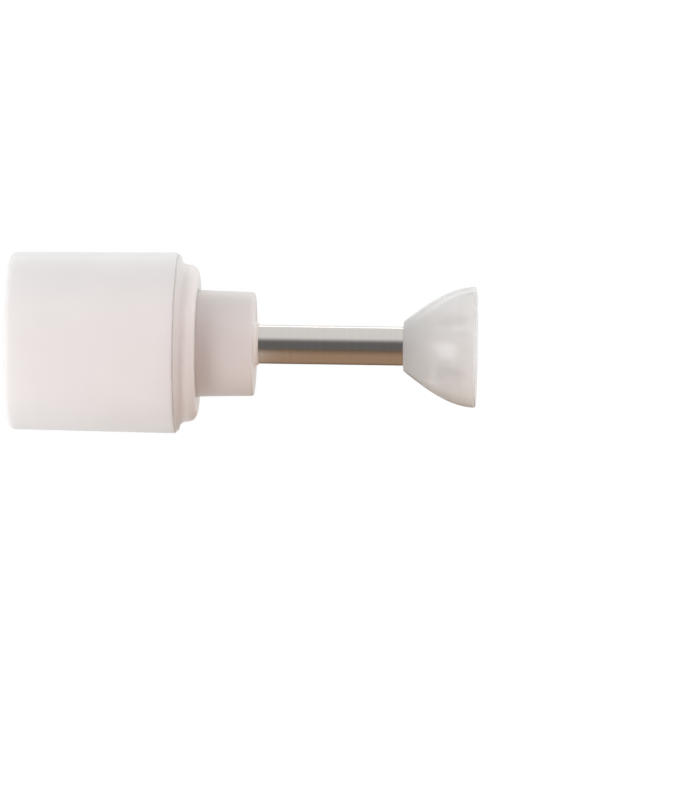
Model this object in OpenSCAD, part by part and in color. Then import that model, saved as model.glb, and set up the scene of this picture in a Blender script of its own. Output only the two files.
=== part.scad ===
// Straight prophy attachment: a white sleeve that slides over a handpiece nose, a nose cartridge
// with two miniature ball bearings, a steel drive shaft and a push-on silicone polishing cup.
// The tool's axis is X. The origin is the centre of the sleeve's rear face and +X points to the cup.
// All sizes are in millimetres.

/* [Sleeve] */
// Length of the white sleeve
sleeve_len = 10.13; // [10.0:0.01:10.6]
// Outer diameter of the sleeve at its rear edge
sleeve_rear_d = 10.72; // [10.4:0.01:11.0]
// Outer diameter of the sleeve at its front edge, larger by the mould's draft
sleeve_front_d = 10.93; // [10.8:0.01:11.4]
// Diameter of the shallow register in the rear face, which centres the handpiece's shoulder
register_d = 8.80; // [8.4:0.05:9.2]
// Depth of the register
register_depth = 1.60; // [1.2:0.05:1.7]
// Diameter of the bore for the handpiece's nose
nose_bore_d = 6.60; // [6.55:0.01:6.8]

/* [Lock ring] */
// Outer diameter of the ring between the sleeve and the collar
ring_d = 9.50; // [9.2:0.05:10.0]
// Length of the ring that shows in front of the sleeve
ring_len = 1.24; // [1.1:0.01:1.5]
// Radius of the ring's rounded front edge
ring_round = 0.56; // [0.3:0.01:0.62]

/* [Collar] */
// Diameter of the collar at its rear end
collar_rear_d = 6.44; // [6.40:0.01:6.48]
// Diameter of the collar at its front face
collar_front_d = 6.26; // [6.1:0.01:6.4]
// Length of the collar in front of the lock ring
collar_len = 3.43; // [3.3:0.01:3.7]

/* [Drive shaft] */
// Diameter of the shaft, the standard straight shank
shaft_d = 2.35; // [2.33:0.01:2.36]
// Length of bare shaft between the collar's face and the cup
shaft_exposed = 9.00; // [7:0.1:12]
// Distance from the sleeve's rear face to the end of the shank
shank_recess = 1.80; // [1.75:0.05:3]
// Depth of shaft inside the cup
cup_grip = 1.90; // [1.7:0.05:2.0]

/* [Bearings] */
// Bore diameter of the ball bearings
bearing_bore_d = 2.38; // [2.37:0.01:2.40]
// Outer diameter of the ball bearings
bearing_d = 4.762; // [4.75:0.001:4.77]
// Width of each bearing
bearing_w = 2.38; // [2.3:0.01:2.4]
// Number of balls in each bearing
ball_count = 7; // [6:1:8]
// Diameter of the balls
ball_d = 0.794; // [0.76:0.001:0.80]

/* [Cup] */
// Length of the polishing cup
cup_len = 4.40; // [4.2:0.05:5.5]
// Outer diameter of the cup's rim
cup_rim_d = 7.30; // [6.8:0.05:7.8]
// Number of webs inside the cup
web_count = 6; // [4:1:8]
// Thickness of each web
web_t = 0.30; // [0.25:0.05:0.45]

/* [Hidden] */

$fn = 72;
running_gap = 0.015;  // radial clearance of the seal and the cup on the shaft
nest_gap = 0.03;      // radial clearance between two nested white mouldings
cut = 1;              // how far a cutting shape runs past the face that it cuts

shaft_r = shaft_d / 2;
journal_r = bearing_bore_d / 2;
bearing_r = bearing_d / 2;
nose_bore_r = nose_bore_d / 2;
collar_r = collar_rear_d / 2;
ring_r = ring_d / 2;

// Stations along X, worked forward from the rear face and back from the collar's front face.
ring_front_x = sleeve_len + ring_len;
collar_front_x = ring_front_x + collar_len;
cup_x = collar_front_x + shaft_exposed;
shaft_end_x = cup_x + cup_grip;
rim_x = cup_x + cup_len;

seal_len = 0.55;
seal_r = 2.45;
seal_lip_len = 0.25;
seal_lip_foot_r = 1.46;
seal_lip_tip_r = 1.25;
seal_lip_steps = 6;
seal_x = collar_front_x - seal_len;
stop_lip_len = 0.25;
stop_lip_r = 2.00;
front_bearing_x = seal_x - stop_lip_len - bearing_w;
spacer_len = 1.00;
rear_bearing_x = front_bearing_x - spacer_len - bearing_w;
wave_gap = 0.34;
wave_x = rear_bearing_x - wave_gap;
nut_len = 0.60;
nut_x = wave_x - nut_len;

flange_r = 4.20;
flange_len = 0.80;
lock_depth = 0.58;      // how deep the lock ring's spigot goes into the sleeve
foot_r = 0.56;          // hollow fillet at the lock ring's foot
foot_rim = 0.12;        // thickness of the foot's outer edge
flange_x = sleeve_len - lock_depth - flange_len;
spigot_r = flange_r + nest_gap;

clip_t = 0.35;
clip_r = 1.75;
clip_groove_r = 0.95;
shaft_flange_r = 1.62;
shaft_flange_len = 0.20;
shaft_chamfer = 0.20;   // rounding at both ends
centre_drill_r = 0.35;
relief_r = 1.00;        // undercut between the shank and the clip's groove
neck_len = 0.60;        // retaining neck near the cup end of the shaft
neck_r = 1.00;
neck_x = shaft_end_x - 1.15;

grip_cord_r = 0.35;
grip_x = 4.20;
grip_groove_r = nose_bore_r + 0.45;
grip_groove_w = 0.80;
key_w = 1.00;
key_r = nose_bore_r + 0.55;
key_end_x = 6.20;

pitch_r = (journal_r + bearing_r) / 2;
ball_r = ball_d / 2;
race_groove_r = ball_r + 0.013;
inner_ring_r = pitch_r - 0.28;
outer_ring_r = pitch_r + 0.28;
shield_t = 0.15;
shield_set = 0.08;
shield_seat_r = outer_ring_r + 0.05;
shield_clearance = 0.06;
cage_w = 1.30;
cage_t = 0.32;
pocket_r = ball_r + 0.018;

cup_mouth_r = 1.50;
cup_wall = 0.48;
cup_floor = 0.35;
bore_floor_x = shaft_end_x + 0.10;
cavity_x = bore_floor_x + cup_floor;
cavity_floor_r = 2.10;
web_depth = 0.55;       // how far the webs stop behind the rim
hub_post_r = 0.45;
bell_steps = 12;

// Turns a shape drawn about Z so that its axis lies along X.
module along_x() rotate([0, 90, 0]) children();

// Revolves a profile drawn as [radius, x].
module turned() along_x() rotate_extrude() children();

// A rectangle of the profile between two radii and two stations.
module band(r0, r1, x0, x1) translate([r0, x0]) square([r1 - r0, x1 - x0]);

// What rounding takes off an outer corner at [r, x]. side is 1 for a front corner, -1 for a rear one.
module corner_cut(r, x, round_r, side)
    translate([r - round_r, x - side * round_r])
    mirror([0, side < 0 ? 1 : 0])
    difference() {
        square(round_r + cut);
        circle(round_r, $fn = 48);
    }

// ---- White mouldings ----

module housing_sleeve() color("whitesmoke")
difference() {
    turned() difference() {
        polygon([
            [0, 0], [sleeve_rear_d / 2, 0], [sleeve_front_d / 2, sleeve_len], [0, sleeve_len]
        ]);
        band(-cut, nose_bore_r, -cut, sleeve_len + cut);
        band(-cut, register_d / 2, -cut, register_depth);
        band(-cut, spigot_r, flange_x, sleeve_len + cut);
        band(-cut, grip_groove_r, grip_x - grip_groove_w / 2, grip_x + grip_groove_w / 2);
        corner_cut(sleeve_rear_d / 2, 0, 0.35, -1);
        corner_cut(sleeve_front_d / 2, sleeve_len, 0.12, 1);
    }
    // two keyways that stop the sleeve turning on the handpiece's nose
    for (side = [-1, 1])
        translate([register_depth - cut, -key_w / 2, side > 0 ? 0 : -key_r])
            cube([key_end_x - register_depth + cut, key_w, key_r]);
}

module lock_ring() color("white")
turned() difference() {
    union() {
        band(collar_r + nest_gap, ring_r, sleeve_len, ring_front_x);
        band(collar_r + nest_gap, spigot_r, sleeve_len - lock_depth, sleeve_len);
        // foot against the sleeve's front face, with a hollow fillet
        difference() {
            band(ring_r - foot_r, ring_r + foot_r, sleeve_len, sleeve_len + foot_rim + foot_r);
            translate([ring_r + foot_r, sleeve_len + foot_rim + foot_r]) circle(foot_r);
        }
    }
    corner_cut(ring_r, ring_front_x, ring_round, 1);
}

module nose_housing() color("snow")
turned() difference() {
    union() {
        band(0, collar_r, nut_x, ring_front_x);
        polygon([
            [0, ring_front_x], [collar_r, ring_front_x],
            [collar_front_d / 2, collar_front_x], [0, collar_front_x]
        ]);
        band(0, flange_r, flange_x, flange_x + flange_len);
    }
    band(-cut, bearing_r, nut_x - cut, front_bearing_x + bearing_w);
    band(-cut, stop_lip_r, nut_x, collar_front_x);
    band(-cut, seal_r, seal_x, collar_front_x + cut);
    corner_cut(collar_front_d / 2, collar_front_x, 0.16, 1);
}

// ---- Seals and the small pieces of the cartridge ----

// A disc in the collar's mouth with a lip that hugs the shaft and thins towards its tip.
module shaft_seal() color("gainsboro")
turned() polygon([
    [shaft_r + running_gap, seal_x], [seal_r, seal_x], [seal_r, collar_front_x],
    for (i = [0:seal_lip_steps])
        let (u = i / seal_lip_steps)
            [seal_lip_tip_r + (seal_lip_foot_r - seal_lip_tip_r) * (1 - u) * (1 - u),
             collar_front_x + seal_lip_len * u],
    [shaft_r + running_gap, collar_front_x + seal_lip_len]
]);

module grip_ring() color("dimgray")
turned() translate([grip_groove_r - grip_cord_r, grip_x]) circle(grip_cord_r, $fn = 32);

module bearing_nut() color("silver")
difference() {
    turned() band(stop_lip_r - 0.02, bearing_r, nut_x, wave_x);
    // two spanner slots across the rear face
    translate([nut_x - cut, -0.25, -bearing_r - cut]) cube([0.25 + cut, 0.5, 2 * (bearing_r + cut)]);
}

// A thin ring whose height follows three sine waves, swept as one polyhedron.
module wave_spring() color("lightslategray") {
    steps = 60;
    t = 0.08;
    height = (wave_gap - t) / 2 - 0.01;
    r0 = 2.02;
    r1 = 2.33;
    points = [
        for (i = [0:steps - 1])
            let (a = 360 * i / steps, x = wave_x + wave_gap / 2 + height * sin(3 * a))
            for (c = [[r0, -t / 2], [r1, -t / 2], [r1, t / 2], [r0, t / 2]])
                [x + c[1], c[0] * cos(a), c[0] * sin(a)]
    ];
    faces = [
        for (i = [0:steps - 1]) let (j = (i + 1) % steps) for (k = [0:3]) let (m = (k + 1) % 4)
            each [
                [4 * i + k, 4 * i + m, 4 * j + m],
                [4 * i + k, 4 * j + m, 4 * j + k]
            ]
    ];
    polyhedron(points, faces);
}

module outer_spacer() color("silver")
turned() band(outer_ring_r, bearing_r, rear_bearing_x + bearing_w, front_bearing_x);

module inner_spacer() color("silver")
turned() band(journal_r, inner_ring_r + 0.02, rear_bearing_x + bearing_w, front_bearing_x);

// An E-clip: a ring with an open mouth and two relief notches.
module shaft_clip() color("slategray")
translate([rear_bearing_x - clip_t, 0, 0]) along_x() linear_extrude(clip_t)
difference() {
    circle(clip_r);
    circle(clip_groove_r);
    translate([0, -0.75]) square([clip_r + cut, 1.5]);
    for (a = [125, 235]) rotate(a) translate([1.12, 0]) circle(0.27, $fn = 24);
}

// ---- Drive shaft ----

module drive_shaft() color("lightgray")
turned() difference() {
    union() {
        band(0, shaft_r, shank_recess, rear_bearing_x);
        band(0, journal_r, rear_bearing_x, front_bearing_x + bearing_w);
        band(0, shaft_flange_r, front_bearing_x + bearing_w,
             front_bearing_x + bearing_w + shaft_flange_len);
        band(0, shaft_r, front_bearing_x + bearing_w, shaft_end_x);
    }
    band(relief_r, shaft_r + cut, nut_x, rear_bearing_x - clip_t);
    band(clip_groove_r, shaft_r + cut, rear_bearing_x - clip_t, rear_bearing_x);
    band(neck_r, shaft_r + cut, neck_x, neck_x + neck_len);
    corner_cut(shaft_r, shank_recess, shaft_chamfer, -1);
    corner_cut(shaft_r, shaft_end_x, shaft_chamfer, 1);
    // centre-drill cone in the shank's end
    polygon([
        [0, shank_recess - cut], [centre_drill_r, shank_recess - cut],
        [centre_drill_r, shank_recess], [0, shank_recess + centre_drill_r]
    ]);
}

// ---- Ball bearings: each piece is drawn with its rear face at x = 0 ----

module race_groove() translate([pitch_r, bearing_w / 2]) circle(race_groove_r, $fn = 48);

module outer_ring() color("silver")
turned() difference() {
    band(outer_ring_r, bearing_r, 0, bearing_w);
    race_groove();
    band(0, shield_seat_r, -cut, shield_set + shield_t);
    band(0, shield_seat_r, bearing_w - shield_set - shield_t, bearing_w + cut);
}

module inner_ring() color("silver")
turned() difference() {
    band(journal_r, inner_ring_r, 0, bearing_w);
    race_groove();
}

module balls() color("lightsteelblue")
for (i = [0:ball_count - 1])
    rotate([360 * i / ball_count, 0, 0]) translate([bearing_w / 2, 0, pitch_r])
        sphere(ball_r, $fn = 48);

module cage() color("peru")
difference() {
    turned() band(pitch_r - cage_t / 2, pitch_r + cage_t / 2,
                  (bearing_w - cage_w) / 2, (bearing_w + cage_w) / 2);
    for (i = [0:ball_count - 1])
        rotate([360 * i / ball_count, 0, 0]) translate([bearing_w / 2, 0, pitch_r - cage_t])
            cylinder(h = 2 * cage_t, r = pocket_r, $fn = 32);
}

module shield(x) color("darkgray")
turned() band(inner_ring_r + shield_clearance, shield_seat_r, x, x + shield_t);

module front_shield() shield(bearing_w - shield_set - shield_t);
module rear_shield() shield(shield_set);

module at_front() translate([front_bearing_x, 0, 0]) children();
module at_rear() translate([rear_bearing_x, 0, 0]) children();

// ---- Polishing cup ----

// Radius of the bell's outer wall at x: a quarter sine wave from the mouth to the rim.
function bell_r(x) =
    cup_mouth_r + (cup_rim_d / 2 - cup_mouth_r) * sin(90 * (x - cup_x) / cup_len);

module cup_outline() polygon([
    [0, cup_x],
    for (i = [0:bell_steps]) let (x = cup_x + cup_len * i / bell_steps) [bell_r(x), x],
    [0, rim_x]
]);

module cup_cavity() polygon([
    [0, cavity_x], [cavity_floor_r, cavity_x],
    for (i = [1:bell_steps])
        let (x = cavity_x + (rim_x - cavity_x) * i / bell_steps) [bell_r(x) - cup_wall, x],
    [bell_r(rim_x) - cup_wall, rim_x + cut], [0, rim_x + cut]
]);

module cup_webs() {
    web_end_x = rim_x - web_depth;
    for (i = [0:web_count - 1])
        rotate([360 * i / web_count, 0, 0]) translate([cavity_x - cut, -web_t / 2, 0])
            cube([web_end_x - cavity_x + cut, web_t, cup_rim_d]);
    along_x() translate([0, 0, cavity_x - cut])
        cylinder(h = web_end_x - cavity_x + cut, r = hub_post_r, $fn = 32);
}

module prophy_cup() color([0.93, 0.95, 0.96, 0.6])
difference() {
    turned() cup_outline();
    difference() {
        turned() cup_cavity();
        cup_webs();
    }
    turned() band(0, shaft_r + running_gap, cup_x - cut, bore_floor_x);
}

housing_sleeve();
lock_ring();
nose_housing();
shaft_seal();
grip_ring();
bearing_nut();
wave_spring();
outer_spacer();
inner_spacer();
shaft_clip();
drive_shaft();
at_front() outer_ring();  // front_bearing_outer_ring
at_front() inner_ring();  // front_bearing_inner_ring
at_front() balls();  // front_bearing_balls
at_front() cage();  // front_bearing_cage
at_front() front_shield();  // front_bearing_front_shield
at_front() rear_shield();  // front_bearing_rear_shield
at_rear() outer_ring();  // rear_bearing_outer_ring
at_rear() inner_ring();  // rear_bearing_inner_ring
at_rear() balls();  // rear_bearing_balls
at_rear() cage();  // rear_bearing_cage
at_rear() front_shield();  // rear_bearing_front_shield
at_rear() rear_shield();  // rear_bearing_rear_shield
prophy_cup();
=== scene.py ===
"""Finished look of a straight prophy attachment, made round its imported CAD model.

The attachment lies along X. The rear face of the white sleeve is at zero and the rim of the silicone cup is
the furthest point. Shapes are worked out in millimetres, in the frame of the CAD model, and become metres
when a mesh is made. Every new piece is a grid of points: a profile carried round X, or a function of the
place along that profile and the turn round the axis. The two bearing cages keep their CAD shape and get a
finish.
"""

import math

import bpy
import numpy as np
from mathutils import Matrix, Vector


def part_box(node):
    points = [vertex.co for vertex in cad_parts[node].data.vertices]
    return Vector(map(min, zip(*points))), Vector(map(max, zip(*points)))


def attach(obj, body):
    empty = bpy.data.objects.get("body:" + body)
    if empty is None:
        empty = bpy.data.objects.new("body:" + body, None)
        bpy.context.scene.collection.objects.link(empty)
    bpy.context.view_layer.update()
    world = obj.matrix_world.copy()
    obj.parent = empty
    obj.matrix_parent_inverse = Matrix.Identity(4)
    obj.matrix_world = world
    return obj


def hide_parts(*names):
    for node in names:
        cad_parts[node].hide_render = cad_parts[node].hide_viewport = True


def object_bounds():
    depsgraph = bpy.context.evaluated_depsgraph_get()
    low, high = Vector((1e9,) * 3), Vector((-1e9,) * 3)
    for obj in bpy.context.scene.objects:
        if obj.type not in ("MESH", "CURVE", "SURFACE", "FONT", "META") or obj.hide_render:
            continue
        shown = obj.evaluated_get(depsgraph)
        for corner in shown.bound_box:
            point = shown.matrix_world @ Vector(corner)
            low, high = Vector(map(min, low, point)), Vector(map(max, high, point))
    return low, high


bl_info = {
    "name": "Prophy attachment finish",
    "version": (1, 0, 0),
    "blender": (4, 5, 0),
    "location": "3D View > Sidebar > Prophy",
    "description": "Makes the finished pieces, materials and studio of a straight prophy attachment",
    "category": "Object",
}

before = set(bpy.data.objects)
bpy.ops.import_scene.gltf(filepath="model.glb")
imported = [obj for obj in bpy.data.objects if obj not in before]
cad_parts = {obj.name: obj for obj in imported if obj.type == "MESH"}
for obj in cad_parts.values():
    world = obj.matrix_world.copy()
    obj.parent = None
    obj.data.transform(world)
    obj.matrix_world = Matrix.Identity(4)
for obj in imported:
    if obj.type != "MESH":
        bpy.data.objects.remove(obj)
CAD_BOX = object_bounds()
MM = 0.001
COLUMNS = 192  # points round a turned piece
FULL_TURN = 2 * math.pi
TINY = 1e-6  # anything smaller counts as nothing


def span(node):
    """Rear station, front station and outer radius of a CAD node, in millimetres."""
    low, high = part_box(node)
    return low.x / MM, high.x / MM, high.z / MM


# Fits inside the attachment that a box doesn't give, in millimetres.
REGISTER_R = 4.40
REGISTER_DEPTH = 1.60
NOSE_BORE_R = 3.30
KEY_HALF_WIDTH = 0.50
KEY_R = 3.85
KEY_END = 6.20
FLANGE_LENGTH = 0.80
NEST_GAP = 0.03
RUNNING_GAP = 0.015
SLEEVE_DRAFT = 0.105
FOOT_HEIGHT = 0.56
FOOT_RIM = 0.12
JOURNAL_R = 1.19
SHANK_R = 1.175


# ---- Settings that a user would change ----


def linear(code):
    """Scene-linear red, green and blue of an sRGB hex colour."""
    srgb = np.array([int(code[i : i + 2], 16) for i in (0, 2, 4)]) / 255
    return tuple(np.where(srgb <= 0.04045, srgb / 12.92, ((srgb + 0.055) / 1.055) ** 2.4).tolist())


def colour(name, description, code):
    """A colour property whose default is an sRGB hex colour."""
    return bpy.props.FloatVectorProperty(
        name=name, description=description, subtype="COLOR", size=3, min=0, max=1, default=linear(code)
    )


def length(name, description, millimetres):
    """A length property whose default is given in millimetres."""
    return bpy.props.FloatProperty(
        name=name, description=description, unit="LENGTH", min=0, precision=6, default=millimetres * MM
    )


def turn_by(name, description, degrees):
    """An angle property whose default is given in degrees."""
    return bpy.props.FloatProperty(
        name=name, description=description, unit="ROTATION", default=math.radians(degrees)
    )


class MouldingSettings(bpy.types.PropertyGroup):
    """Colours and surface of the three white mouldings."""

    sleeve_colour: colour("Sleeve", "Colour of the acetal sleeve", "E4E2E1")
    # the ring's colour is a little pinker than the sleeve's: partly its own tone, partly painted pink light
    ring_colour_with_painted_pink_light: colour("Lock ring", "Colour of the lock ring", "E3DFDC")
    # the collar's colour is darker and pinker than the sleeve's: partly its own tone, partly painted shade
    # and painted pink light
    collar_colour_with_painted_shade: colour("Collar", "Colour of the collar", "D6D1CE")
    grain: length("Grain", "Size of the spark-eroded mould's texture", 0.07)
    sleeve_corner: length("Sleeve corner", "Rounding of the sleeve's rear edge", 0.38)
    ring_corner: length("Ring corner", "Rounding of the lock ring's front edge", 0.56)
    collar_corner: length("Collar corner", "Rounding of the collar's front edge", 0.16)


class SteelSettings(bpy.types.PropertyGroup):
    """Colour and finish of the drive shaft."""

    shaft_colour: colour("Shaft", "Colour of the polished stainless steel", "CFCAC6")
    mark_pitch: length("Turning marks", "Distance between the polished turning marks", 0.045)
    shaft_roughness: bpy.props.FloatProperty(
        name="Roughness", description="Roughness of the polished shaft", min=0, max=1, default=0.17
    )


class CupSettings(bpy.types.PropertyGroup):
    """Shape and colour of the silicone cup."""

    cup_colour: colour("Cup", "Colour of the translucent silicone", "FBFAF8")
    wall: length("Wall", "Thickness of the cup's wall at the rim", 0.48)
    web_thickness: length("Web", "Thickness of each web inside the cup", 0.30)
    web_depth: length("Web depth", "How far the webs stop behind the rim", 0.55)
    web_count: bpy.props.IntProperty(
        name="Webs", description="Number of webs inside the cup", min=3, max=12, default=6
    )


class StageSettings(bpy.types.PropertyGroup):
    """Camera, floor and lights."""

    lens: bpy.props.FloatProperty(
        name="Lens", description="Focal length in millimetres", min=50, max=600, default=296
    )
    distance: length("Distance", "From the camera to the attachment", 392.6)
    yaw: turn_by("Yaw", "Turn of the camera towards the cup", 2.4)
    roll: turn_by("Roll", "Tilt of the camera", 0.86)
    floor_drop: length("Floor drop", "Height of the attachment's axis above the floor", 42)
    card_start: length("Card start", "Where the tan bounce card starts along the attachment", 13.5)
    card_radius: length("Card radius", "Distance of the tan bounce card from the axis", 22)
    card_colour: colour("Card", "Colour of the tan bounce card", "B89B81")


# ---- Profiles and meshes ----


def outline(corners, rounds, closed=True, steps=5):
    """Rounded outline of a turned piece, as rows of (x, radius).

    Each corner gives way to an arc of its own radius that touches both of its sides. Rows run along the arc,
    and then along the straight to the next corner, closer together at the straight's two ends, so that the
    shading stays flat between them. An open outline keeps its first and last points as they are.
    """
    corner = np.array(corners, float)
    radius = np.broadcast_to(np.array(rounds, float), len(corner))[:, None]
    back = np.roll(corner, 1, 0) - corner
    ahead = np.roll(corner, -1, 0) - corner
    back /= np.linalg.norm(back, axis=1, keepdims=True)
    ahead /= np.linalg.norm(ahead, axis=1, keepdims=True)
    half = np.arccos(np.clip((back * ahead).sum(1), -1, 1))[:, None] / 2
    middle = back + ahead
    middle /= np.maximum(np.linalg.norm(middle, axis=1, keepdims=True), TINY)
    if not closed:
        radius = radius * np.r_[0, np.ones(len(corner) - 2), 0][:, None]
        half[[0, -1]] = math.pi / 4
    centre = corner + middle * radius / np.sin(half)
    start = corner + back * radius / np.tan(half)
    end = corner + ahead * radius / np.tan(half)
    sweep = np.maximum(math.pi - 2 * half, TINY)
    t = np.linspace(0, 1, steps + 1)
    before = np.sin((1 - t) * sweep)[..., None] * (start - centre)[:, None]
    after = np.sin(t * sweep)[..., None] * (end - centre)[:, None]
    arc = centre[:, None] + (before + after) / np.sin(sweep)[..., None]
    share = np.array([0.03, 0.25, 0.5, 0.75, 0.97])[:, None]
    straight = end[:, None] + share * (np.roll(start, -1, 0) - end)[:, None]
    rows = np.concatenate([arc, straight], axis=1).reshape(-1, 2)
    if not closed:
        rows = rows[: -len(share)]
    apart = np.linalg.norm(rows - np.roll(rows, 1, 0), axis=1)
    return rows[apart > TINY]


def arc_corners(centre, radius, first, last, count=12):
    """Points along an arc, from the first to the last angle in degrees, as corners of an outline."""
    angle = np.radians(np.linspace(first, last, count))
    return np.stack([centre[0] + radius * np.cos(angle), centre[1] + radius * np.sin(angle)], axis=1)


def turned(rows, angle=None):
    """Surface of revolution: the point of row (x, r) at angle a is (x, r cos a, r sin a)."""
    if angle is None:
        angle = np.arange(COLUMNS) * FULL_TURN / COLUMNS
    x, radius = rows[:, :1], rows[:, 1:]
    return np.stack(np.broadcast_arrays(x, radius * np.cos(angle), radius * np.sin(angle)), axis=-1)


def sector_angles(radius, offsets, sectors, count):
    """Angles of the columns round the axis, for a shape that repeats in a number of equal sectors.

    Each sector is mirrored about its middle plane, and the first sector's middle plane is +Z. The columns
    beside the middle plane keep fixed distances from it, the offsets, so that a slot or web keeps straight
    and parallel sides at any radius. The other columns share the rest of the sector evenly.
    """
    spread = math.pi / sectors
    # close to the axis the offsets shrink, so that they take no more than this share of a sector
    largest_share = 0.8
    widest = math.sin(largest_share * spread)
    sine = offsets / np.maximum(radius, TINY)[..., None]
    held = np.arcsin(np.minimum(sine, offsets / offsets[-1] * widest))
    share = np.arange(1, count + 1) / count
    rest = held[..., -1:] + (spread - held[..., -1:]) * share
    half = np.concatenate([held, rest], axis=-1)
    sector = np.concatenate([-half[..., -2:0:-1], half], axis=-1)
    turns = math.pi / 2 + 2 * spread * np.arange(sectors)
    return (turns[:, None] + sector[..., None, :]).reshape(*sector.shape[:-1], -1)


def sector_weights(weights, sectors, count):
    """The offsets' weights, repeated for every column that sector_angles makes, and 0 elsewhere."""
    half = np.r_[weights, np.zeros(count)]
    return np.tile(np.r_[half[-2:0:-1], half], sectors)


def grid_faces(rows, columns, rows_meet, columns_meet):
    """Quads between neighbouring points of a grid, as an array of four indices each."""
    i = np.arange(rows if rows_meet else rows - 1)[:, None]
    j = np.arange(columns if columns_meet else columns - 1)[None]
    below, beside = (i + 1) % rows, (j + 1) % columns
    quad = [i * columns + j, below * columns + j, below * columns + beside, i * columns + beside]
    return np.stack(np.broadcast_arrays(*quad), axis=-1).reshape(-1, 4)


def fan(pole, ring):
    """Triangles from one pole to a ring of point indices."""
    return np.stack([np.full(len(ring), pole), ring, np.roll(ring, -1)], axis=1)


def enclosed(points, triangles):
    """Volume inside a closed skin, which is negative when its faces point inwards."""
    a, b, c = (points[triangles[:, k]] for k in range(3))
    return np.einsum("ij,ij->", a, np.cross(b, c)) / 6


def as_triangles(quads):
    """Each quad as its two triangles."""
    return np.concatenate([quads[:, [0, 1, 2]], quads[:, [0, 2, 3]]])


def make_piece(name, points, quads, triangles=None):
    """A smooth mesh object from points in millimetres. All faces point outwards."""
    triangles = np.zeros((0, 3), int) if triangles is None else triangles
    if enclosed(points, np.concatenate([as_triangles(quads), triangles])) < 0:
        quads, triangles = quads[:, ::-1], triangles[:, ::-1]
    mesh = bpy.data.meshes.new(name)
    mesh.from_pydata((points * MM).tolist(), [], quads.tolist() + triangles.tolist())
    mesh.polygons.foreach_set("use_smooth", np.ones(len(mesh.polygons), bool))
    mesh.update()
    if mesh.validate():
        raise RuntimeError(f"{name} has faces that aren't valid")
    piece = bpy.data.objects.new(name, mesh)
    bpy.context.scene.collection.objects.link(piece)
    return piece


def ring_piece(name, grid):
    """A piece from a grid that closes on itself both ways, as the skin of a ring does."""
    rows, columns = grid.shape[:2]
    return make_piece(name, grid.reshape(-1, 3), grid_faces(rows, columns, True, True))


def rod_piece(name, grid):
    """A piece from a grid whose first and last rows are closed by a pole on the axis."""
    rows, columns = grid.shape[:2]
    poles = np.array([[grid[0, :, 0].mean(), 0, 0], [grid[-1, :, 0].mean(), 0, 0]])
    points = np.concatenate([grid.reshape(-1, 3), poles])
    first, last = np.arange(columns), np.arange(columns) + (rows - 1) * columns
    caps = np.concatenate([fan(len(points) - 2, first)[:, ::-1], fan(len(points) - 1, last)])
    quads = grid_faces(rows, columns, False, True)[:, ::-1]
    return make_piece(name, points, quads, caps)


def finish_piece(piece, skin, body, slot, *nodes):
    """Gives a piece its material and its body, and hides the CAD nodes that it stands for. Its slot is not
    used.
    """
    piece.data.materials.clear()
    piece.data.materials.append(skin)
    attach(piece, body)
    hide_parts(*nodes)


# ---- Materials ----


def add(tree, kind, inputs=None, **settings):
    """Adds a node, sets its settings, and sets or links each of its named inputs."""
    made = tree.nodes.new(kind)
    for key, value in settings.items():
        setattr(made, key, value)
    for key, value in (inputs or {}).items():
        if isinstance(value, bpy.types.NodeSocket):
            tree.links.new(value, made.inputs[key])
        else:
            made.inputs[key].default_value = value
    return made


def material(name, **shader_inputs):
    """A new material with one principled shader. Returns the material, its tree and the shader."""
    made = bpy.data.materials.new(name)
    made.use_nodes = True
    tree = made.node_tree
    tree.nodes.clear()
    shader = add(tree, "ShaderNodeBsdfPrincipled", shader_inputs)
    add(tree, "ShaderNodeOutputMaterial", {"Surface": shader.outputs["BSDF"]})
    return made, tree, shader


def rgba(rgb, factor=1.0):
    """A linear colour with alpha, made lighter or darker by a factor."""
    return (*(min(1.0, c * factor) for c in rgb), 1.0)


def noise(tree, vector, size_mm, detail=2.0, roughness=0.5):
    """Noise whose largest features are size_mm across. Its output runs from about 0.3 to 0.7."""
    inputs = {"Vector": vector, "Scale": 1 / (size_mm * MM), "Detail": detail, "Roughness": roughness}
    return add(tree, "ShaderNodeTexNoise", inputs).outputs["Fac"]


def object_place(tree):
    """The place in the piece's own coordinates, in metres."""
    return add(tree, "ShaderNodeTexCoord").outputs["Object"]


def distance(tree, vector):
    """Length of a vector, as a node's output."""
    return add(tree, "ShaderNodeVectorMath", {0: vector}, operation="LENGTH").outputs["Value"]


def spread_over(tree, value, low, high, smallest=0.3, largest=0.7, kind="LINEAR"):
    """Stretches a pattern's own range, smallest to largest, over low to high."""
    inputs = {"Value": value, "From Min": smallest, "From Max": largest, "To Min": low, "To Max": high}
    return add(tree, "ShaderNodeMapRange", inputs, interpolation_type=kind).outputs["Result"]


def tint_over(tree, shader, pattern, rgb, first, last, smallest=0.3, largest=0.7):
    """Lets a pattern take the surface's colour from first to last times rgb."""
    share = spread_over(tree, pattern, 0, 1, smallest, largest)
    steps = add(tree, "ShaderNodeValToRGB", {"Fac": share})
    steps.color_ramp.elements[0].color = rgba(rgb, first)
    steps.color_ramp.elements[1].color = rgba(rgb, last)
    tree.links.new(steps.outputs["Color"], shader.inputs["Base Color"])


def rough_over(tree, shader, pattern, low, high):
    """Lets a pattern take the surface's roughness from low to high."""
    tree.links.new(spread_over(tree, pattern, low, high), shader.inputs["Roughness"])


def bump_over(tree, shader, pattern, strength, depth_mm):
    """Lets a pattern raise the surface by up to depth_mm, in the shading only."""
    inputs = {"Height": pattern, "Strength": strength, "Distance": depth_mm * MM}
    tree.links.new(add(tree, "ShaderNodeBump", inputs).outputs["Normal"], shader.inputs["Normal"])


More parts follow.
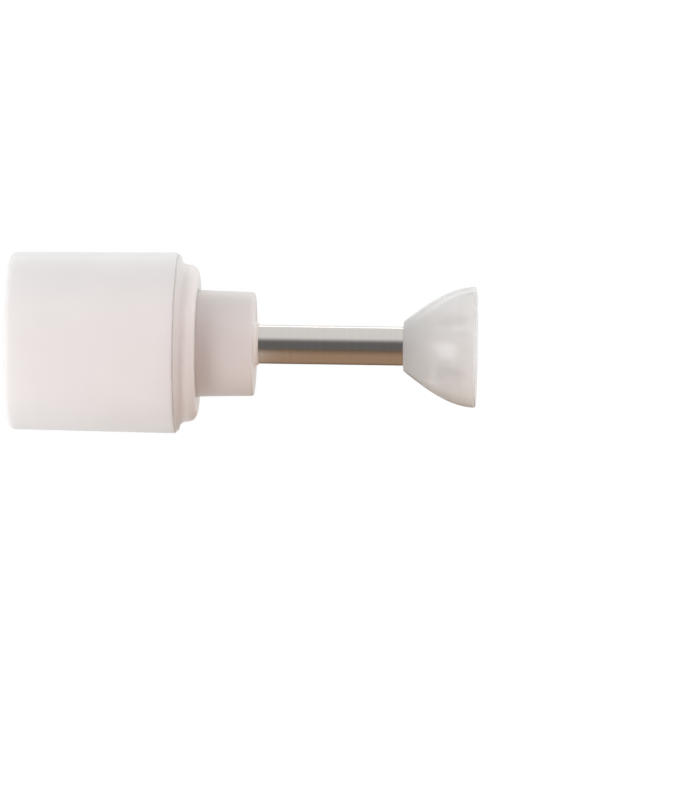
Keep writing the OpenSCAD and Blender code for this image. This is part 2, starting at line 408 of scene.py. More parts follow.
def moulded_acetal(name, rgb, grain_mm):
    """Injection-moulded white acetal: a satin skin that light sinks into a little, so that its shadows stay
    soft, with the fine texture of a spark-eroded mould and faint cloudy flow marks."""
    made, tree, shader = material(
        name,
        IOR=1.48,
        **{
            "Subsurface Weight": 0.35,
            "Subsurface Radius": (1.0, 0.96, 0.92),
            "Subsurface Scale": 0.0012,
            "Specular IOR Level": 0.5,
        },
    )
    place = object_place(tree)
    clouds = noise(tree, place, 3.5, detail=3.0)
    tint_over(tree, shader, clouds, rgb, 0.975, 1.01)
    grain = noise(tree, place, grain_mm, detail=3.0, roughness=0.6)
    rough_over(tree, shader, grain, 0.34, 0.46)
    bump_over(tree, shader, grain, 0.3, 0.006)
    return made


def turned_steel(name, rgb, roughness, pitch_mm, depth_mm, spread=0.35):
    """Stainless steel from a lathe: metal with fine marks that run round the axis, on turned walls and on
    end faces alike, which stretch its reflections along the piece."""
    made, tree, shader = material(name, Metallic=1.0)
    place = add(tree, "ShaderNodeSeparateXYZ", {"Vector": object_place(tree)})
    across = add(tree, "ShaderNodeCombineXYZ", {"X": place.outputs["Y"], "Y": place.outputs["Z"]})
    radius = distance(tree, across.outputs["Vector"])
    along = {"X": place.outputs["X"], "Y": radius}
    marks = noise(tree, add(tree, "ShaderNodeCombineXYZ", along).outputs["Vector"], pitch_mm, 4.0, 0.65)
    tint_over(tree, shader, marks, rgb, 0.94, 1.03)
    rough_over(tree, shader, marks, roughness * (1 - spread), roughness * (1 + spread))
    bump_over(tree, shader, marks, 0.5, depth_mm)
    return made


def sheet_steel(name, rgb, roughness, blotch_mm):
    """Pressed or tempered spring steel: metal with a cloudy, slightly darkened skin and no turning marks."""
    made, tree, shader = material(name, Metallic=1.0)
    place = object_place(tree)
    clouds = noise(tree, place, blotch_mm, 3.0)
    tint_over(tree, shader, clouds, rgb, 0.8, 1.1)
    rough_over(tree, shader, clouds, roughness * 0.8, roughness * 1.3)
    return made


def moulded_rubber(name, rgb, roughness, grain_mm):
    """Moulded rubber: a dull skin with a fine powdery texture and no clear reflections."""
    made, tree, shader = material(name, IOR=1.5)
    place = object_place(tree)
    grain = noise(tree, place, grain_mm, 4.0, 0.6)
    tint_over(tree, shader, grain, rgb, 0.9, 1.06)
    rough_over(tree, shader, grain, roughness * 0.9, roughness * 1.15)
    bump_over(tree, shader, grain, 0.4, 0.01)
    return made


def filled_resin(name, rgb):
    """Cotton-filled phenolic resin: warm brown with short pale fibres, as bearing cages are cut from."""
    made, tree, shader = material(name, IOR=1.6)
    place = object_place(tree)
    stretched = add(tree, "ShaderNodeMapping", {"Vector": place, "Scale": (1, 4, 4)}).outputs["Vector"]
    fibres = noise(tree, stretched, 0.25, 4.0, 0.7)
    tint_over(tree, shader, fibres, rgb, 0.7, 1.5)
    rough_over(tree, shader, fibres, 0.45, 0.6)
    return made


def cast_silicone(name, rgb, steel_end):
    """Translucent silicone rubber: milky, with a painted shade that makes its colour a little darker as far
    as steel_end, standing in for the shaft inside showing through. Its dull moulded skin still catches a
    broad highlight along the bell."""
    made, tree, shader = material(
        name,
        IOR=1.41,
        **{
            "Transmission Weight": 0.4,
            "Subsurface Weight": 0.8,
            "Subsurface Radius": (1.0, 0.96, 0.92),
            "Subsurface Scale": 0.003,
        },
    )
    place = object_place(tree)
    clouds = noise(tree, place, 1.8, 3.0)
    along = add(tree, "ShaderNodeSeparateXYZ", {"Vector": place}).outputs["X"]
    # painted shade: the colour is darker towards the mouth, as far as steel_end, for the shaft inside seen
    # through the wall
    darkest_painted_shade, clear = steel_end - 0.5 * MM, steel_end + 1.2 * MM
    tint_over(tree, shader, along, rgb, 0.78, 1.0, darkest_painted_shade, clear)
    rough_over(tree, shader, clouds, 0.17, 0.22)
    grain = noise(tree, place, 0.12, 2.0)
    bump_over(tree, shader, grain, 0.15, 0.003)
    return made


def painted_floor(name, rgb):
    """Matt painted board: pale, with only the faintest roller texture. Away from the middle it glows,
    painted light up to plain white, so that it runs into the white room with no edge. From below it can be
    seen through."""
    made, tree, shader = material(name, Roughness=0.85)
    place = object_place(tree)
    clouds = noise(tree, place, 60, 2.0)
    tint_over(tree, shader, clouds, rgb, 0.985, 1.0)
    shader.inputs["Emission Color"].default_value = (1, 1, 1, 1)
    # a cross product with Z is as long as the place's distance from the Z axis
    sideways = add(tree, "ShaderNodeVectorMath", {0: place, 1: (0, 0, 1)}, operation="CROSS_PRODUCT")
    away = distance(tree, sideways.outputs["Vector"])
    # painted light: the glow rises from nothing near the middle to lift far out
    near, far, lift = 90 * MM, 150 * MM, 0.35
    glow = spread_over(tree, away, 0.0, lift, near, far, "SMOOTHSTEP")
    tree.links.new(glow, shader.inputs["Emission Strength"])
    underside = add(tree, "ShaderNodeNewGeometry").outputs["Backfacing"]
    clear = add(tree, "ShaderNodeBsdfTransparent").outputs["BSDF"]
    mixed = add(tree, "ShaderNodeMixShader", {0: underside, 1: shader.outputs["BSDF"], 2: clear})
    output = next(node for node in tree.nodes if node.type == "OUTPUT_MATERIAL")
    tree.links.new(mixed.outputs["Shader"], output.inputs["Surface"])
    return made


# ---- Pieces ----


class PROPHY_OT_sleeve(bpy.types.Operator):
    """Make the white sleeve with its draft, socket, groove and keyways"""

    bl_idname = "prophy.sleeve"
    bl_label = "White sleeve"

    def execute(self, context):
        settings = context.scene.prophy_mouldings
        rear, front, front_r = span("housing_sleeve")
        seat_front = span("lock_ring")[0]
        flange_r = span("nose_housing")[2]
        groove_rear, groove_front, groove_r = span("grip_ring")
        # the groove is a little wider than the grip ring, and the keyways end in a step between two rows
        slack = 0.05
        step = 0.02
        seat_r = flange_r + NEST_GAP
        rear_corner = settings.sleeve_corner / MM
        corners = [
            (rear, front_r - SLEEVE_DRAFT),
            (front, front_r),
            (front, seat_r),
            (seat_front - FLANGE_LENGTH, seat_r),
            (seat_front - FLANGE_LENGTH, NOSE_BORE_R),
            (KEY_END, NOSE_BORE_R),
            (KEY_END - step, NOSE_BORE_R),
            (groove_front + slack, NOSE_BORE_R),
            (groove_front + slack, groove_r),
            (groove_rear - slack, groove_r),
            (groove_rear - slack, NOSE_BORE_R),
            (REGISTER_DEPTH, NOSE_BORE_R),
            (REGISTER_DEPTH, REGISTER_R),
            (rear, REGISTER_R),
        ]
        rounds = [rear_corner, 0.12, 0.05, 0.05, 0.08, 0, 0, 0.04, 0.05, 0.05, 0.04, 0.06, 0.1, 0.12]
        rows = outline(corners, rounds)
        keyways, beside_each = 2, 40
        offsets = KEY_HALF_WIDTH * np.array([0, 0.5, 0.88, 0.96, 1])
        inside = sector_weights(np.array([1, 1, 1, 1, 0]), keyways, beside_each) > 0
        grid = turned(rows, sector_angles(rows[:, 1], offsets, keyways, beside_each))
        keyed = (rows[:, 0] > REGISTER_DEPTH - step / 2) & (rows[:, 0] < KEY_END - step / 2)
        keyed = (keyed & (rows[:, 1] < KEY_R))[:, None] & inside
        grid[..., 2] = np.where(keyed, np.sign(grid[..., 2]) * KEY_R, grid[..., 2])
        piece = ring_piece("sleeve_moulding", grid)
        acetal = moulded_acetal("moulded_white_acetal_sleeve", settings.sleeve_colour, settings.grain / MM)
        finish_piece(piece, acetal, "housing", "sleeve_polymer", "housing_sleeve")
        return {"FINISHED"}


class PROPHY_OT_lock_ring(bpy.types.Operator):
    """Make the lock ring with its hollow foot and rounded front edge"""

    bl_idname = "prophy.lock_ring"
    bl_label = "Lock ring"

    def execute(self, context):
        settings = context.scene.prophy_mouldings
        rear, front, foot_r = span("lock_ring")
        sleeve_front = span("housing_sleeve")[1]
        spigot_r = span("nose_housing")[2] + NEST_GAP
        ring_r = foot_r - FOOT_HEIGHT
        inner_r = NOSE_BORE_R - 0.05
        corners = [
            (rear, inner_r),
            (rear, spigot_r),
            (sleeve_front, spigot_r),
            (sleeve_front, foot_r),
            (sleeve_front + FOOT_RIM, foot_r),
            (sleeve_front + FOOT_RIM, ring_r),
            (front, ring_r),
            (front, inner_r),
        ]
        foot_fillet, front_corner = FOOT_HEIGHT - 0.04, settings.ring_corner / MM
        rounds = [0.04, 0.04, 0.03, 0.02, 0.03, foot_fillet, front_corner, 0.06]
        piece = ring_piece("lock_ring_moulding", turned(outline(corners, rounds, steps=10)))
        # the ring's colour holds painted pink light besides its own tone
        acetal = moulded_acetal("moulded_white_acetal_ring_painted_pink_light", settings.ring_colour_with_painted_pink_light, settings.grain / MM)
        finish_piece(piece, acetal, "housing", "ring_polymer", "lock_ring")
        return {"FINISHED"}


class PROPHY_OT_collar(bpy.types.Operator):
    """Make the collar, which is the front of the bearing cartridge's housing"""

    bl_idname = "prophy.collar"
    bl_label = "Collar"

    def execute(self, context):
        settings = context.scene.prophy_mouldings
        rear, front, flange_r = span("nose_housing")
        ring_rear, ring_front, _ = span("lock_ring")
        bearing_front, bearing_r = span("front_bearing_outer_ring")[1:]
        seal_rear, _, seal_r = span("shaft_seal")
        rear_r, front_r, stop_r = NOSE_BORE_R - 0.08, 3.13, 2.00
        corners = [
            (rear, bearing_r),
            (rear, rear_r),
            (ring_rear - FLANGE_LENGTH, rear_r),
            (ring_rear - FLANGE_LENGTH, flange_r),
            (ring_rear, flange_r),
            (ring_rear, rear_r),
            (ring_front, rear_r),
            (front, front_r),
            (front, seal_r),
            (seal_rear, seal_r),
            (seal_rear, stop_r),
            (bearing_front, stop_r),
            (bearing_front, bearing_r),
        ]
        front_corner = settings.collar_corner / MM
        rounds = [0.05, 0.08, 0.05, 0.05, 0.05, 0.05, 0, front_corner, 0.05, 0.04, 0.04, 0.03, 0.04]
        piece = ring_piece("collar_moulding", turned(outline(corners, rounds)))
        # the collar's colour holds painted shade and painted pink light besides its own tone
        acetal = moulded_acetal("moulded_white_acetal_collar_painted_shade", settings.collar_colour_with_painted_shade, settings.grain / MM)
        finish_piece(piece, acetal, "housing", "collar_polymer", "nose_housing")
        return {"FINISHED"}


class PROPHY_OT_seals(bpy.types.Operator):
    """Make the shaft seal with its lip, and the grip ring in the sleeve's bore"""

    bl_idname = "prophy.seals"
    bl_label = "Seals"

    def execute(self, context):
        rear, tip, seal_r = span("shaft_seal")
        face = span("nose_housing")[1]
        inner_r = SHANK_R + RUNNING_GAP
        foot_r, tip_r = 1.46, 1.25
        u = np.linspace(0, 1, 14)
        lip = np.stack([face + (tip - face) * u, tip_r + (foot_r - tip_r) * (1 - u) ** 2], axis=1)
        corners = np.concatenate([[(rear, inner_r), (rear, seal_r), (face, seal_r)], lip, [(tip, inner_r)]])
        rounds = np.r_[0.03, 0.04, 0.05, np.zeros(len(lip) - 1), 0.02, 0.0]
        seal = ring_piece("shaft_seal_rubber", turned(outline(corners, rounds)))
        pale = moulded_rubber("moulded_pale_seal_rubber", linear("E2DDD8"), 0.5, 0.05)
        finish_piece(seal, pale, "housing", "seal_rubber", "shaft_seal")

        rear, front, ring_r = span("grip_ring")
        cord_r = (front - rear) / 2
        flash_height, flash_width = 0.012, 0.12
        points_round = 48
        turn = np.arange(points_round) * FULL_TURN / points_round
        # the mould's parting line leaves a low ridge of flash inside and outside
        flash = flash_height * np.exp(-((np.sin(turn) / flash_width) ** 2))
        reach = cord_r - flash_height + flash
        station, radius = (rear + front) / 2 + reach * np.sin(turn), ring_r - cord_r + reach * np.cos(turn)
        rows = np.stack([station, radius], axis=1)
        grip = ring_piece("grip_ring_rubber", turned(rows))
        black = moulded_rubber("moulded_black_nitrile", linear("26262A"), 0.55, 0.06)
        finish_piece(grip, black, "housing", "grip_rubber", "grip_ring")
        return {"FINISHED"}


class PROPHY_OT_cartridge(bpy.types.Operator):
    """Make the small pieces that hold the bearings: nut, wave spring, spacers and clip"""

    bl_idname = "prophy.cartridge"
    bl_label = "Cartridge pieces"

    def execute(self, context):
        turned_skin = turned_steel("turned_stainless_steel", linear("BDBCB8"), 0.36, 0.06, 0.004, 0.15)
        spring_skin = sheet_steel("tempered_spring_steel", linear("7C7F86"), 0.36, 0.6)

        rear, front, nut_r = span("bearing_nut")
        bore_r, slot_depth, slot_half = 1.98, 0.25, 0.25
        rows = outline([(rear, bore_r), (rear, nut_r), (front, nut_r), (front, bore_r)], 0.05)
        slots, beside_each = 2, 30
        offsets = slot_half * np.array([0, 0.48, 0.8, 0.94, 1])
        inside = sector_weights(np.array([1, 1, 1, 1, 0]), slots, beside_each) > 0
        grid = turned(rows, sector_angles(rows[:, 1], offsets, slots, beside_each))
        squeezed = front + (grid[..., 0] - front) * (1 - slot_depth / (front - rear))
        grid[..., 0] = np.where(inside, squeezed, grid[..., 0])
        nut = ring_piece("cartridge_nut", grid)
        finish_piece(nut, turned_skin, "housing", "turned_steel", "bearing_nut")

        rear, front, spring_r = span("wave_spring")
        half_sheet, inner_r, waves = 0.04, 2.02, 3
        height = (front - rear) / 2 - half_sheet
        middle = (front + rear) / 2
        corners = [
            (-half_sheet, inner_r),
            (-half_sheet, spring_r),
            (half_sheet, spring_r),
            (half_sheet, inner_r),
        ]
        columns = 240
        angle = np.arange(columns) * FULL_TURN / columns
        grid = turned(outline(corners, 0.02), angle)
        grid[..., 0] += middle + height * np.sin(waves * angle)
        spring = ring_piece("preload_wave_spring", grid)
        finish_piece(spring, spring_skin, "housing", "spring_steel", "wave_spring")

        outer_land = 2.0655
        for node_name, body, inner_r in (
            ("outer_spacer", "housing", outer_land),
            ("inner_spacer", "shaft", JOURNAL_R),
        ):
            rear, front, outer_r = span(node_name)
            rows = outline([(rear, inner_r), (rear, outer_r), (front, outer_r), (front, inner_r)], 0.04)
            spacer = ring_piece(node_name + "_turned", turned(rows))
            finish_piece(spacer, turned_skin, body, "turned_steel", node_name)

        rear, front, clip_r = span("shaft_clip")
        groove_r, mouth_half, notch_r, notch_place = 0.95, 0.75, 0.27, 1.12
        notch_angles = (125, 235)
        columns = 181
        outside = np.array([[False], [True], [True], [False]])
        mouth = np.arcsin(mouth_half / np.where(outside, clip_r, groove_r))
        # angles are measured from the middle of the mouth, which opens downwards and has parallel sides
        angle = mouth + 2 * (math.pi - mouth) * np.linspace(0, 1, columns)
        notch = np.minimum.reduce([np.abs(angle - math.radians(a)) for a in notch_angles])
        bite = np.sqrt(np.maximum(notch_r**2 - (notch_place * np.sin(notch)) ** 2, 0))
        inner = np.where(bite > 0, np.maximum(groove_r, notch_place * np.cos(notch) + bite), groove_r)
        radius = np.where(outside, clip_r, inner)
        station = np.array([[rear], [rear], [front], [front]])
        grid = np.stack(np.broadcast_arrays(station, radius * np.sin(angle), -radius * np.cos(angle)), -1)
        quads = grid_faces(len(grid), columns, True, False)
        ends = np.arange(len(grid)) * columns
        caps = np.stack([ends[::-1], ends + columns - 1])
        clip = make_piece("retaining_clip", grid.reshape(-1, 3), np.concatenate([quads, caps]))
        edge = clip.modifiers.new("edges", "BEVEL")
        edge.width = 0.03 * MM
        edge.segments = 2
        finish_piece(clip, spring_skin, "shaft", "spring_steel", "shaft_clip")
        return {"FINISHED"}


class PROPHY_OT_drive_shaft(bpy.types.Operator):
    """Make the polished steel drive shaft"""

    bl_idname = "prophy.drive_shaft"
    bl_label = "Drive shaft"

    def execute(self, context):
        settings = context.scene.prophy_steel
        rear, front, flange_r = span("drive_shaft")
        relief = span("bearing_nut")[0]
        clip_rear, clip_front, _ = span("shaft_clip")
        journal_front = span("front_bearing_inner_ring")[1]
        flange_front = journal_front + 0.2
        neck_rear, neck_front = front - 1.15, front - 0.55
        drilled, relief_r, clip_groove_r, neck_r = 0.35, 1.00, 0.95, 1.00
        corners = [
            (rear + drilled, 0),
            (rear, drilled),
            (rear, SHANK_R),
            (relief, SHANK_R),
            (relief, relief_r),
            (clip_rear, relief_r),
            (clip_rear, clip_groove_r),
            (clip_front, clip_groove_r),
            (clip_front, JOURNAL_R),
            (journal_front, JOURNAL_R),
            (journal_front, flange_r),
            (flange_front, flange_r),
            (flange_front, SHANK_R),
            (neck_rear, SHANK_R),
            (neck_rear, neck_r),
            (neck_front, neck_r),
            (neck_front, SHANK_R),
            (front, SHANK_R),
            (front, 0),
        ]
        end_round, broken_edge = 0.2, 0.03
        rounds = [0, broken_edge, end_round] + [broken_edge] * 14 + [end_round, 0]
        rows = outline(corners, rounds, closed=False)[1:-1]
        piece = rod_piece("polished_drive_shaft", turned(rows))
        pitch, depth = settings.mark_pitch / MM, 0.0015
        rgb, roughness = settings.shaft_colour, settings.shaft_roughness
        steel = turned_steel("polished_stainless_steel", rgb, roughness, pitch, depth)
        finish_piece(piece, steel, "shaft", "polished_steel", "drive_shaft")
        return {"FINISHED"}


class PROPHY_OT_bearings(bpy.types.Operator):
    """Make both ball bearings: rings with their grooves, balls, shields and the cages' finish"""

    bl_idname = "prophy.bearings"
    bl_label = "Ball bearings"

    def execute(self, context):
        ground = turned_steel("ground_bearing_steel", linear("C6C6C6"), 0.16, 0.03, 0.001)
        mirror = turned_steel("polished_ball_steel", linear("D6D6D8"), 0.06, 0.2, 0.0002)
        pressed = sheet_steel("pressed_shield_steel", linear("B8B8B6"), 0.17, 0.9)
        resin = filled_resin("cotton_filled_resin", linear("8A5A2E"))
        ball_r, groove_r, seat_depth, balls = 0.397, 0.41, 0.23, 7
        for end in ("front", "rear"):
            rear, front, outer_r = span(f"{end}_bearing_outer_ring")
            inner_land = span(f"{end}_bearing_inner_ring")[2]
            pitch_r = (JOURNAL_R + outer_r) / 2
            outer_land = 2 * pitch_r - inner_land
            seat_r = outer_land + 0.05
            shield_r = inner_land + 0.06
            middle = (rear + front) / 2
            reach = math.degrees(math.asin((outer_land - pitch_r) / groove_r))

            groove = arc_corners((middle, pitch_r), groove_r, reach, 180 - reach)
            corners = [
                (rear + seat_depth, seat_r),
                (rear, seat_r),
                (rear, outer_r),
                (front, outer_r),
                (front, seat_r),
                (front - seat_depth, seat_r),
                (front - seat_depth, outer_land),
            ]
            corners = np.concatenate([corners, groove, [(rear + seat_depth, outer_land)]])
            smooth = np.zeros(len(groove) - 2)
            rounds = np.r_[0.02, 0.03, 0.1, 0.1, 0.03, 0.02, 0.01, 0.01, smooth, 0.01, 0.01]
            piece = ring_piece(f"{end}_outer_race", turned(outline(corners, rounds, steps=4)))
            finish_piece(piece, ground, "housing", "bearing_steel", f"{end}_bearing_outer_ring")

            groove = arc_corners((middle, pitch_r), groove_r, -180 + reach, -reach)
            corners = [(rear, JOURNAL_R), (rear, inner_land), *groove]
            corners += [(front, inner_land), (front, JOURNAL_R)]
            rounds = np.r_[0.06, 0.04, 0.01, smooth, 0.01, 0.04, 0.06]
            piece = ring_piece(f"{end}_inner_race", turned(outline(corners, rounds, steps=4)))
            finish_piece(piece, ground, "shaft", "bearing_steel", f"{end}_bearing_inner_ring")

            for side in ("front", "rear"):
                low, high, _ = span(f"{end}_bearing_{side}_shield")
                corners = [(low, shield_r), (low, seat_r), (high, seat_r), (high, shield_r)]
                rows = outline(corners, [0.05, 0.02, 0.02, 0.05])
                piece = ring_piece(f"{end}_shield_{side}_side", turned(rows))
                finish_piece(piece, pressed, "housing", "shield_steel", f"{end}_bearing_{side}_shield")

            piece = make_piece(f"{end}_ball_set", *ball_set(middle, pitch_r, ball_r, balls))
            finish_piece(piece, mirror, f"{end}_cage", "ball_steel", f"{end}_bearing_balls")
            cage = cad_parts[f"{end}_bearing_cage"]
            cage.data.materials.clear()
            cage.data.materials.append(resin)
        return {"FINISHED"}


def ball_set(x, pitch_r, ball_r, count):
    """Balls spaced evenly on a circle round X. Each is a globe: the point at latitude u and longitude v is
    (cos u cos v, cos u sin v, sin u) times the ball's radius. Returns points, quads and triangles."""
    rings, columns = 23, 32
    u = np.linspace(-math.pi / 2, math.pi / 2, rings + 2)[1:-1, None]
    v = np.arange(columns) * FULL_TURN / columns
    globe = np.stack(np.broadcast_arrays(np.cos(u) * np.cos(v), np.cos(u) * np.sin(v), np.sin(u)), -1)
    globe = np.concatenate([globe.reshape(-1, 3), [(0, 0, -1), (0, 0, 1)]]) * ball_r
    turn = math.pi / 2 + np.arange(count) * FULL_TURN / count
    centre = np.stack([np.full(count, x), pitch_r * np.cos(turn), pitch_r * np.sin(turn)], axis=1)
    shift = (np.arange(count) * len(globe))[:, None, None]
    quads = grid_faces(rings, columns, False, True)[:, ::-1]
    first, last = np.arange(columns), np.arange(columns) + (rings - 1) * columns
    caps = np.concatenate([fan(len(globe) - 2, first)[:, ::-1], fan(len(globe) - 1, last)])
    points = (centre[:, None] + globe).reshape(-1, 3)
    return points, (shift + quads).reshape(-1, 4), (shift + caps).reshape(-1, 3)


class PROPHY_OT_cup(bpy.types.Operator):
    """Make the silicone cup: a flared bell with webs inside, on the shaft's end"""

    bl_idname = "prophy.cup"
    bl_label = "Silicone cup"

    def execute(self, context):
        settings = context.scene.prophy_cup
        mouth, rim, rim_r = span("prophy_cup")
        shaft_end = span("drive_shaft")[1]
        wall, mouth_r, bore_r = settings.wall / MM, 1.50, SHANK_R + RUNNING_GAP
        air, floor_thickness, post_r, fillet = 0.10, 0.35, 0.45, 0.12
        bore_floor = shaft_end + air
        cavity, web_end = bore_floor + floor_thickness, rim - settings.web_depth / MM
        half_web = settings.web_thickness / MM / 2

        def bell(x):
            """Radius of the bell: a quarter sine wave from the mouth to the rim."""
            return mouth_r + (rim_r - mouth_r) * np.sin(math.pi / 2 * (x - mouth) / (rim - mouth))

        x = mouth + (rim - mouth) * np.linspace(0, 1, 41)[1:-1]
        outside = np.stack([x, bell(x)], axis=1)
        # the rim's edge is half an ellipse across the wall
        lip, edge_length = wall / 2, 0.3 * wall
        edge_start = rim - edge_length
        around = np.linspace(math.pi / 2, -math.pi / 2, 13)
        edge_x = edge_start + edge_length * np.cos(around)
        edge = np.stack([edge_x, rim_r - lip + lip * np.sin(around)], axis=1)
        outside = outside[outside[:, 0] < edge_start]
        corners = [(bore_floor, 0), (bore_floor, bore_r), (mouth, bore_r), (mouth, mouth_r), outside[0]]
        start = outline(corners, [0, 0.1, 0.06, 0.14, 0], closed=False)[1:-1]
        fixed = np.concatenate([start, outside, edge])

        count = 9
        # columns across half a web, and then through the fillet beside it
        offsets = half_web * np.array([0, 0.5, 0.85, 1])
        offsets = np.r_[offsets, half_web + fillet * np.array([0.25, 0.75, 1])]
        weights = np.array([1, 1, 1, 0.9, 0.5, 0.06, 0])
        sectors = settings.web_count
        web = sector_weights(weights, sectors, count)

        # the wall inside, from the rim down to the floor, which the webs raise
        share = np.r_[np.linspace(0.04, 0.9, 12), 0.96, 0.99][:, None]
        foot_x = cavity + web * (web_end - cavity)
        wall_x = edge_start + (foot_x - edge_start) * share
        wall_r = bell(wall_x) - wall

        # the floor, from the wall to the post in the middle
        share = np.r_[0, 0.02, 0.06, np.linspace(0.14, 0.94, 16), 1][:, None]
        foot_r = bell(foot_x) - wall
        floor_r = foot_r + (post_r + fillet - foot_r) * share
        floor_x = np.broadcast_to(foot_x, floor_r.shape)
        # rows up the post and across its end: share of its height, and distance outside its radius
        post = np.array([(0.06, 0.09), (0.5, 0.03), (0.9, 0.0), (1.0, -0.04), (1.0, -0.2), (1.0, -0.38)])
        post_x = cavity + np.maximum(web, post[:, :1]) * (web_end - cavity)
        post_x, middle_r = np.broadcast_arrays(post_x, post_r + post[:, 1:])

        same = np.ones((1, len(web)))
        x = np.concatenate([fixed[:, :1] * same, wall_x, floor_x, post_x])
        radius = np.concatenate([fixed[:, 1:] * same, wall_r, floor_r, middle_r])
        angle = cup_angles(radius, offsets, sectors, count)
        grid = np.stack([x, radius * np.cos(angle), radius * np.sin(angle)], axis=-1)
        piece = rod_piece("silicone_cup", grid)
        silicone = cast_silicone("translucent_silicone_with_painted_shade", settings.cup_colour, shaft_end * MM)
        finish_piece(piece, silicone, "cup", "cup_silicone", "prophy_cup")
        return {"FINISHED"}


def cup_angles(radius, offsets, sectors, count):
    """sector_angles for a grid in which every point has its own radius: the columns' angles are worked out
    for each radius, and each column keeps its own."""
    columns = radius.shape[1]
    every = sector_angles(radius, offsets, sectors, count)
    return every[:, np.arange(columns), np.arange(columns)]


# ---- Studio ----


class PROPHY_OT_stage(bpy.types.Operator):
    """Make the camera, the pale floor and the soft studio light"""

    bl_idname = "prophy.stage"
    bl_label = "Studio"

    def execute(self, context):
        settings = context.scene.prophy_stage
        scene = context.scene
        scene.view_settings.view_transform = "Standard"
        low, high = CAD_BOX
        middle = Vector((0.5 * (low.x + high.x), 0, 0))

        aimed_along, aimed_below = 19.97 * MM, 3.03 * MM
        aim = Vector((low.x + aimed_along, 0, -aimed_below))
        outwards = Vector((math.sin(settings.yaw), -math.cos(settings.yaw), 0))
        camera = bpy.data.objects.new("camera", bpy.data.cameras.new("camera"))
        scene.collection.objects.link(camera)
        camera.data.lens = settings.lens
        camera.data.sensor_width = 36
        camera.data.clip_start = 0.01
        camera.data.clip_end = 10
        turn = (-outwards).to_track_quat("-Z", "Y").to_matrix() @ Matrix.Rotation(settings.roll, 3, "Z")
        camera.matrix_world = Matrix.Translation(aim + outwards * settings.distance) @ turn.to_4x4()
        scene.camera = camera

        innermost, nearest, floor_r, columns = 2, 20, 1400, 96
        radius = np.r_[innermost, np.geomspace(nearest, floor_r, 12)][:, None]
        angle = np.arange(columns) * FULL_TURN / columns
        drop, across = -settings.floor_drop / MM, middle.x / MM
        x, y = across + radius * np.cos(angle), radius * np.sin(angle)
        grid = np.stack(np.broadcast_arrays(x, y, drop), -1)
        points = np.concatenate([grid.reshape(-1, 3), [(across, 0, drop)]])
        quads = grid_faces(len(radius), columns, False, True)
        floor = make_piece("floor", points, quads, fan(len(points) - 1, np.arange(columns)))
        # a sheet below the origin encloses nothing, so make_piece has turned its upper side down
        floor.data.flip_normals()
        floor.data.materials.append(painted_floor("matt_painted_board", linear("F4F5F5")))

        # a trough under the shaft: -180 degrees would be behind it, -90 is below it and 0 in front
        start, card_length, first, last = settings.card_start / MM, 33, -168, -26
        along = np.linspace(start, start + card_length, 12)[:, None]
        around = np.radians(np.linspace(first, last, 28))
        reach = settings.card_radius / MM
        grid = np.stack(np.broadcast_arrays(along, -reach * np.cos(around), reach * np.sin(around)), -1)
        # the card glows: painted light standing in for light bounced up from below the shaft; the camera
        # doesn't see it
        card = make_piece("glowing_tan_bounce_card", grid.reshape(-1, 3), grid_faces(*grid.shape[:2], False, False))
        card.data.materials.append(glowing_card("glowing_tan_card", settings.card_colour, 1.0))
        for item in (floor, card):
            item.visible_diffuse = item is card
            item.visible_glossy = item is card
        card.visible_camera = False

        for name, place, aim, size, spread, power, code, reflected in (
            ("key_softbox", (-62, -66, -10), (0, 0, 0), (44, 44), 180, 0.026, "FFFFFF", True),
            ("back_strip", (-20, 99, 104), (0, 0, 0), (150, 14), 180, 0.018, "FFFFFF", True),
            ("rose_fill", (10, -34, -8), (-6, 0, 0), (24, 24), 120, 0.0006, "FF7068", False),
            ("rear_fill", (-40, -28, -26), (-12, 0, 0), (24, 24), 180, 0.0032, "FFFFFF", False),
            ("front_fill", (60, -24, -12), (0, 0, 0), (24, 24), 180, 0.0105, "FFFFFF", False),
        ):
            data = bpy.data.lights.new(name, "AREA")
            data.shape = "RECTANGLE"
            data.size, data.size_y = size[0] * MM, size[1] * MM
            data.spread = math.radians(spread)
            data.energy = power
            data.color = linear(code)
            light = bpy.data.objects.new(name, data)
            scene.collection.objects.link(light)
            light.location = middle + Vector(place) * MM
            light.rotation_euler = (Vector(aim) - Vector(place)).to_track_quat("-Z", "Y").to_euler()
            light.visible_camera = False
            light.visible_glossy = reflected
        scene.world = studio_surroundings()
        return {"FINISHED"}


def studio_surroundings():
    """A plain white room. As light it is bright all round but dim towards -Y, so that polished steel shows a
    dark band along its middle."""
    world = bpy.data.worlds.new("studio")
    world.use_nodes = True
    tree = world.node_tree
    tree.nodes.clear()
    direction = add(tree, "ShaderNodeTexCoord").outputs["Generated"]
    front, cone_edge, cone_core, bright, dim = (0, -0.996, -0.087), 0.66, 0.96, 1.0, 0.17
    strength = toward(tree, direction, front, cone_edge, cone_core, bright, dim)
    room = add(tree, "ShaderNodeBackground", {"Color": (1, 1, 1, 1), "Strength": strength}).outputs[0]
    plain = add(tree, "ShaderNodeBackground", {"Color": (1, 1, 1, 1), "Strength": 1.0}).outputs[0]
    seen = add(tree, "ShaderNodeLightPath").outputs["Is Camera Ray"]
    mixed = add(tree, "ShaderNodeMixShader", {0: seen, 1: room, 2: plain}).outputs[0]
    add(tree, "ShaderNodeOutputWorld", {"Surface": mixed})
    return world


def glowing_card(name, rgb, strength):
    """A coloured card that glows as one does in strong light, and less towards its upper edges."""
    made = bpy.data.materials.new(name)
    made.use_nodes = True
    tree = made.node_tree
    tree.nodes.clear()
    place = add(tree, "ShaderNodeSeparateXYZ", {"Vector": object_place(tree)})
    low, high, at_the_edges = -20 * MM, -10 * MM, 0.4
    shade = spread_over(tree, place.outputs["Z"], strength, at_the_edges, low, high)
    glow = add(tree, "ShaderNodeEmission", {"Color": rgba(rgb), "Strength": shade})
    add(tree, "ShaderNodeOutputMaterial", {"Surface": glow.outputs[0]})
    return made


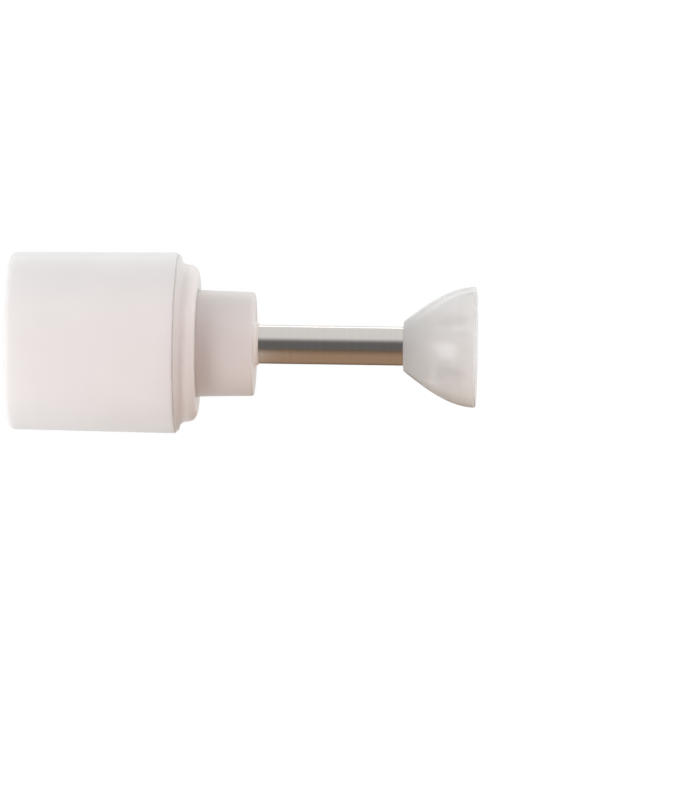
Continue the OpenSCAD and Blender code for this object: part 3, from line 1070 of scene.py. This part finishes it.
def toward(tree, direction, aim, edge, core, outside, inside):
    """Strength that changes smoothly from outside to inside as a direction turns to the aim: edge and core
    are cosines of the angle from it."""
    cosine = add(tree, "ShaderNodeVectorMath", {0: direction, 1: aim}, operation="DOT_PRODUCT")
    return spread_over(tree, cosine.outputs["Value"], outside, inside, edge, core, "SMOOTHSTEP")


# ---- Panel and registration ----


class PROPHY_PT_panel(bpy.types.Panel):
    """Lists the pieces in the sidebar"""

    bl_idname = "PROPHY_PT_panel"
    bl_label = "Prophy attachment"
    bl_space_type = "VIEW_3D"
    bl_region_type = "UI"
    bl_category = "Prophy"

    def draw(self, context):
        for operator in OPERATORS:
            self.layout.operator(operator.bl_idname)
        for name in SETTINGS:
            group = getattr(context.scene, name)
            box = self.layout.box()
            for key in group.bl_rna.properties.keys():
                if key not in ("rna_type", "name"):
                    box.prop(group, key)


SETTINGS = {
    "prophy_mouldings": MouldingSettings,
    "prophy_steel": SteelSettings,
    "prophy_cup": CupSettings,
    "prophy_stage": StageSettings,
}
OPERATORS = (
    PROPHY_OT_sleeve,
    PROPHY_OT_lock_ring,
    PROPHY_OT_collar,
    PROPHY_OT_seals,
    PROPHY_OT_cartridge,
    PROPHY_OT_drive_shaft,
    PROPHY_OT_bearings,
    PROPHY_OT_cup,
    PROPHY_OT_stage,
)


def register():
    """Registers the settings, the operators and the panel."""
    for name, group in SETTINGS.items():
        bpy.utils.register_class(group)
        setattr(bpy.types.Scene, name, bpy.props.PointerProperty(type=group))
    for item in (*OPERATORS, PROPHY_PT_panel):
        bpy.utils.register_class(item)


def unregister():
    """Takes everything out again, in the opposite order."""
    for item in (PROPHY_PT_panel, *reversed(OPERATORS)):
        bpy.utils.unregister_class(item)
    for name, group in reversed(SETTINGS.items()):
        delattr(bpy.types.Scene, name)
        bpy.utils.unregister_class(group)


def main():
    """Makes every piece and the studio."""
    register()
    for operator in OPERATORS:
        module, name = operator.bl_idname.split(".")
        getattr(getattr(bpy.ops, module), name)()


if __name__ == "__main__":
    main()
